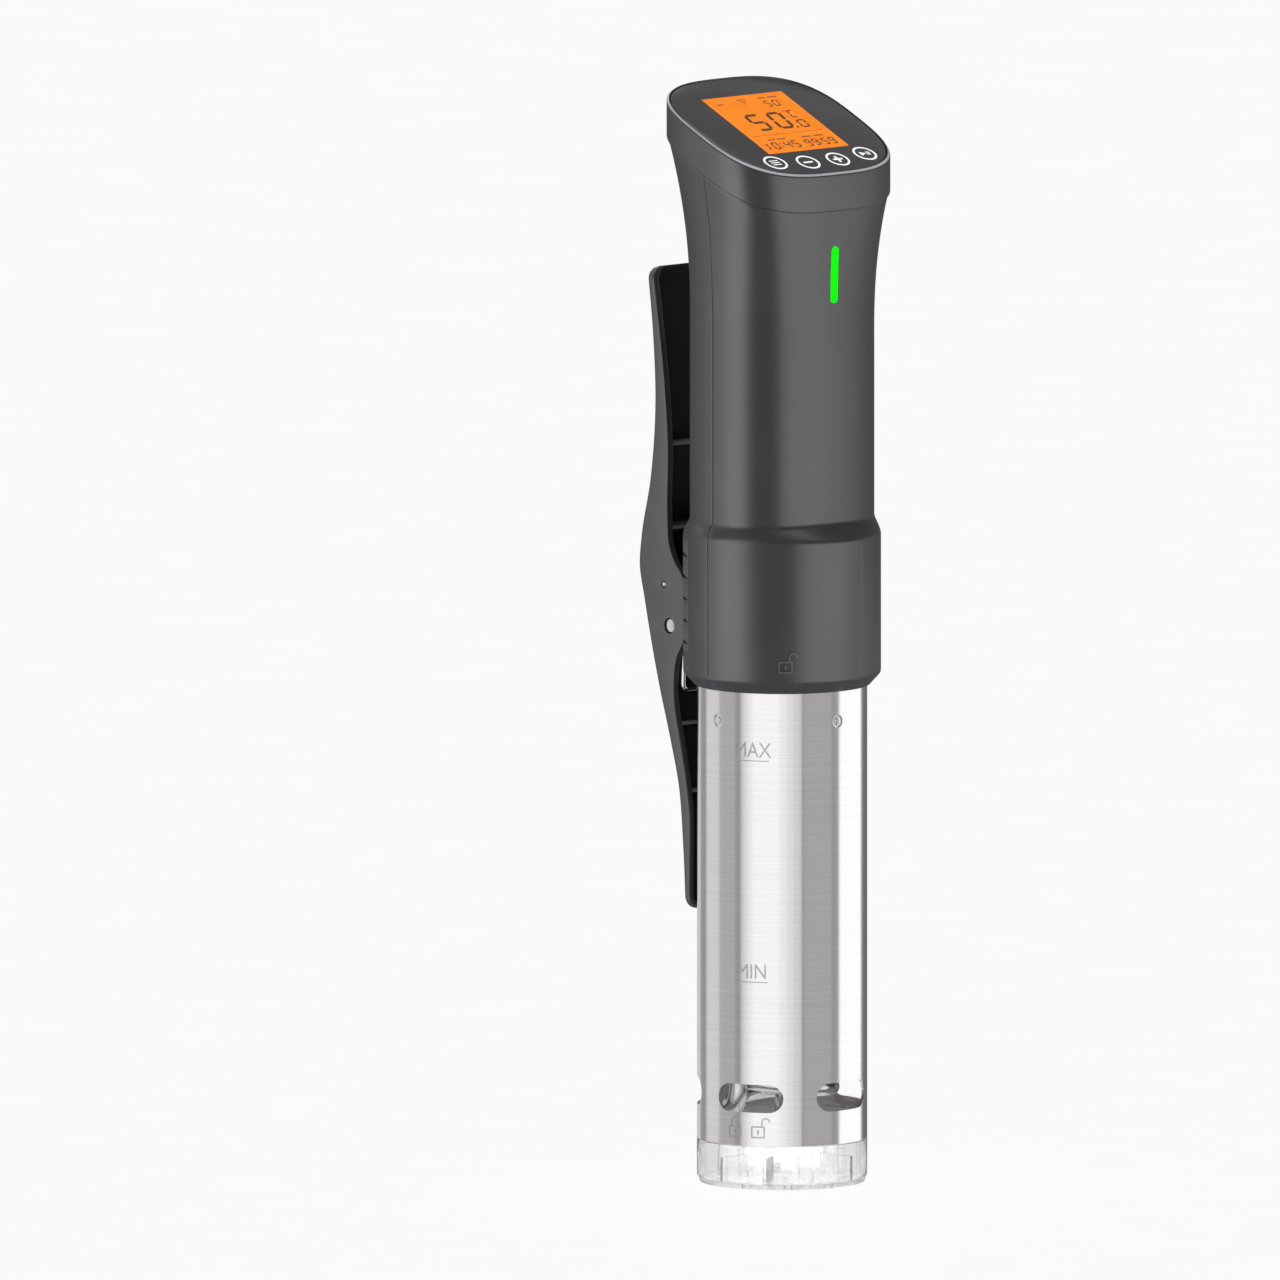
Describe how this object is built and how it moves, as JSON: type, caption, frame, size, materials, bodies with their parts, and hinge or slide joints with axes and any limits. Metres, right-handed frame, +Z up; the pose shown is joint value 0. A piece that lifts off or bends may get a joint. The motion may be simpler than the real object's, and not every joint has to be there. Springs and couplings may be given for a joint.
{
  "type": "sous vide circulator",
  "caption": "Immersion circulator: steel tube with water slots and a clear end cap, oval handle with a slanted amber display, sprung lever clip behind.",
  "frame": {"origin": "centre of the end cap's flat bottom, on the tube's axis", "axes": "+Z up the tube's axis, the display and light face -Y, the clip is on the +Y side, +X is to the right seen from the front"},
  "size_m": [0.0724, 0.0894, 0.3752],
  "materials": {
    "housing": "satin, fine moulded grain",
    "head_ring": "satin with a bright bevelled rim",
    "dark_collar": "satin",
    "lens": "polished dark window",
    "screen": "backlit amber screen with dark segments",
    "white_plastic": "natural white moulding",
    "circuit_board": "solder mask",
    "component": "potted electronic parts",
    "brass_parts": "bright",
    "light": "lit green light guide",
    "aluminium_parts": "bright",
    "rubber_parts": "matt",
    "inner_plastic": "moulded",
    "brushed_sleeve": "fine brushing round the tube",
    "steel_bright": "bright drawn stainless steel",
    "clear_cap": "clear polycarbonate",
    "clip_plastic": "satin, glass-filled moulding"
  },
  "bodies": {
    "body": {"head_collar": "head_ring", "display_lens": "lens", "display_board": "circuit_board", "lcd_panel": "screen", "lcd_backlight": "white_plastic", "touch_spring_1": "brass_parts", "touch_spring_2": "brass_parts", "touch_spring_3": "brass_parts", "touch_spring_4": "brass_parts", "buzzer": "component", "front_shell": "housing", "rear_shell": "housing", "light_pipe": "light", "led_board": "circuit_board", "shell_screw_1": "steel_bright", "shell_screw_2": "steel_bright", "shell_screw_3": "steel_bright", "shell_screw_4": "steel_bright", "cord_gland": "rubber_parts", "power_board": "circuit_board", "transformer": "component", "capacitor": "component", "relay": "component", "heat_sink": "aluminium_parts", "motor": "aluminium_parts", "motor_bracket": "aluminium_parts", "motor_screw_1": "steel_bright", "motor_screw_2": "steel_bright", "heater_flange": "inner_plastic", "seal_ring": "rubber_parts", "shaft_bearing": "brass_parts", "shaft_seal": "rubber_parts", "heating_coil": "steel_bright", "temperature_probe": "steel_bright", "level_probe_1": "steel_bright", "level_probe_2": "steel_bright", "support_plate": "inner_plastic", "housing_collar": "dark_collar", "clip_mount": "clip_plastic", "clip_mount_screw_1": "steel_bright", "clip_mount_screw_2": "steel_bright", "pivot_pin": "steel_bright", "clip_spring": "steel_bright"},
    "rotor": {"motor_shaft": "steel_bright", "shaft_coupling": "brass_parts", "drive_shaft": "steel_bright", "impeller": "white_plastic", "impeller_nut": "steel_bright"},
    "sleeve": {"steel_sleeve": "brushed_sleeve"},
    "cap": {"end_cap": "clear_cap"},
    "clip": {"clip_lever": "clip_plastic", "spring_leg_left": "steel_bright", "spring_leg_right": "steel_bright"}
  },
  "joints": [
    {"name": "impeller_spin", "type": "hinge", "parent": "body", "child": "rotor", "pos_m": [0, 0, 0.1], "axis": [0, 0, 1], "continuous": true},
    {"name": "clip_pivot", "type": "hinge", "parent": "body", "child": "clip", "pos_m": [0, 0.0397, 0.1878], "axis": [1, 0, 0], "range_deg": [0, 7], "stiffness_Nm_per_rad": 2, "springref_deg": -14.32},
    {"name": "sleeve_twist", "type": "hinge", "parent": "body", "child": "sleeve", "pos_m": [0, 0, 0.172], "axis": [0, 0, 1], "range_deg": [0, 20]},
    {"name": "end_cap_twist", "type": "hinge", "parent": "sleeve", "child": "cap", "pos_m": [0, 0, 0.015], "axis": [0, 0, 1], "range_deg": [0, 18.6]}
  ]
}
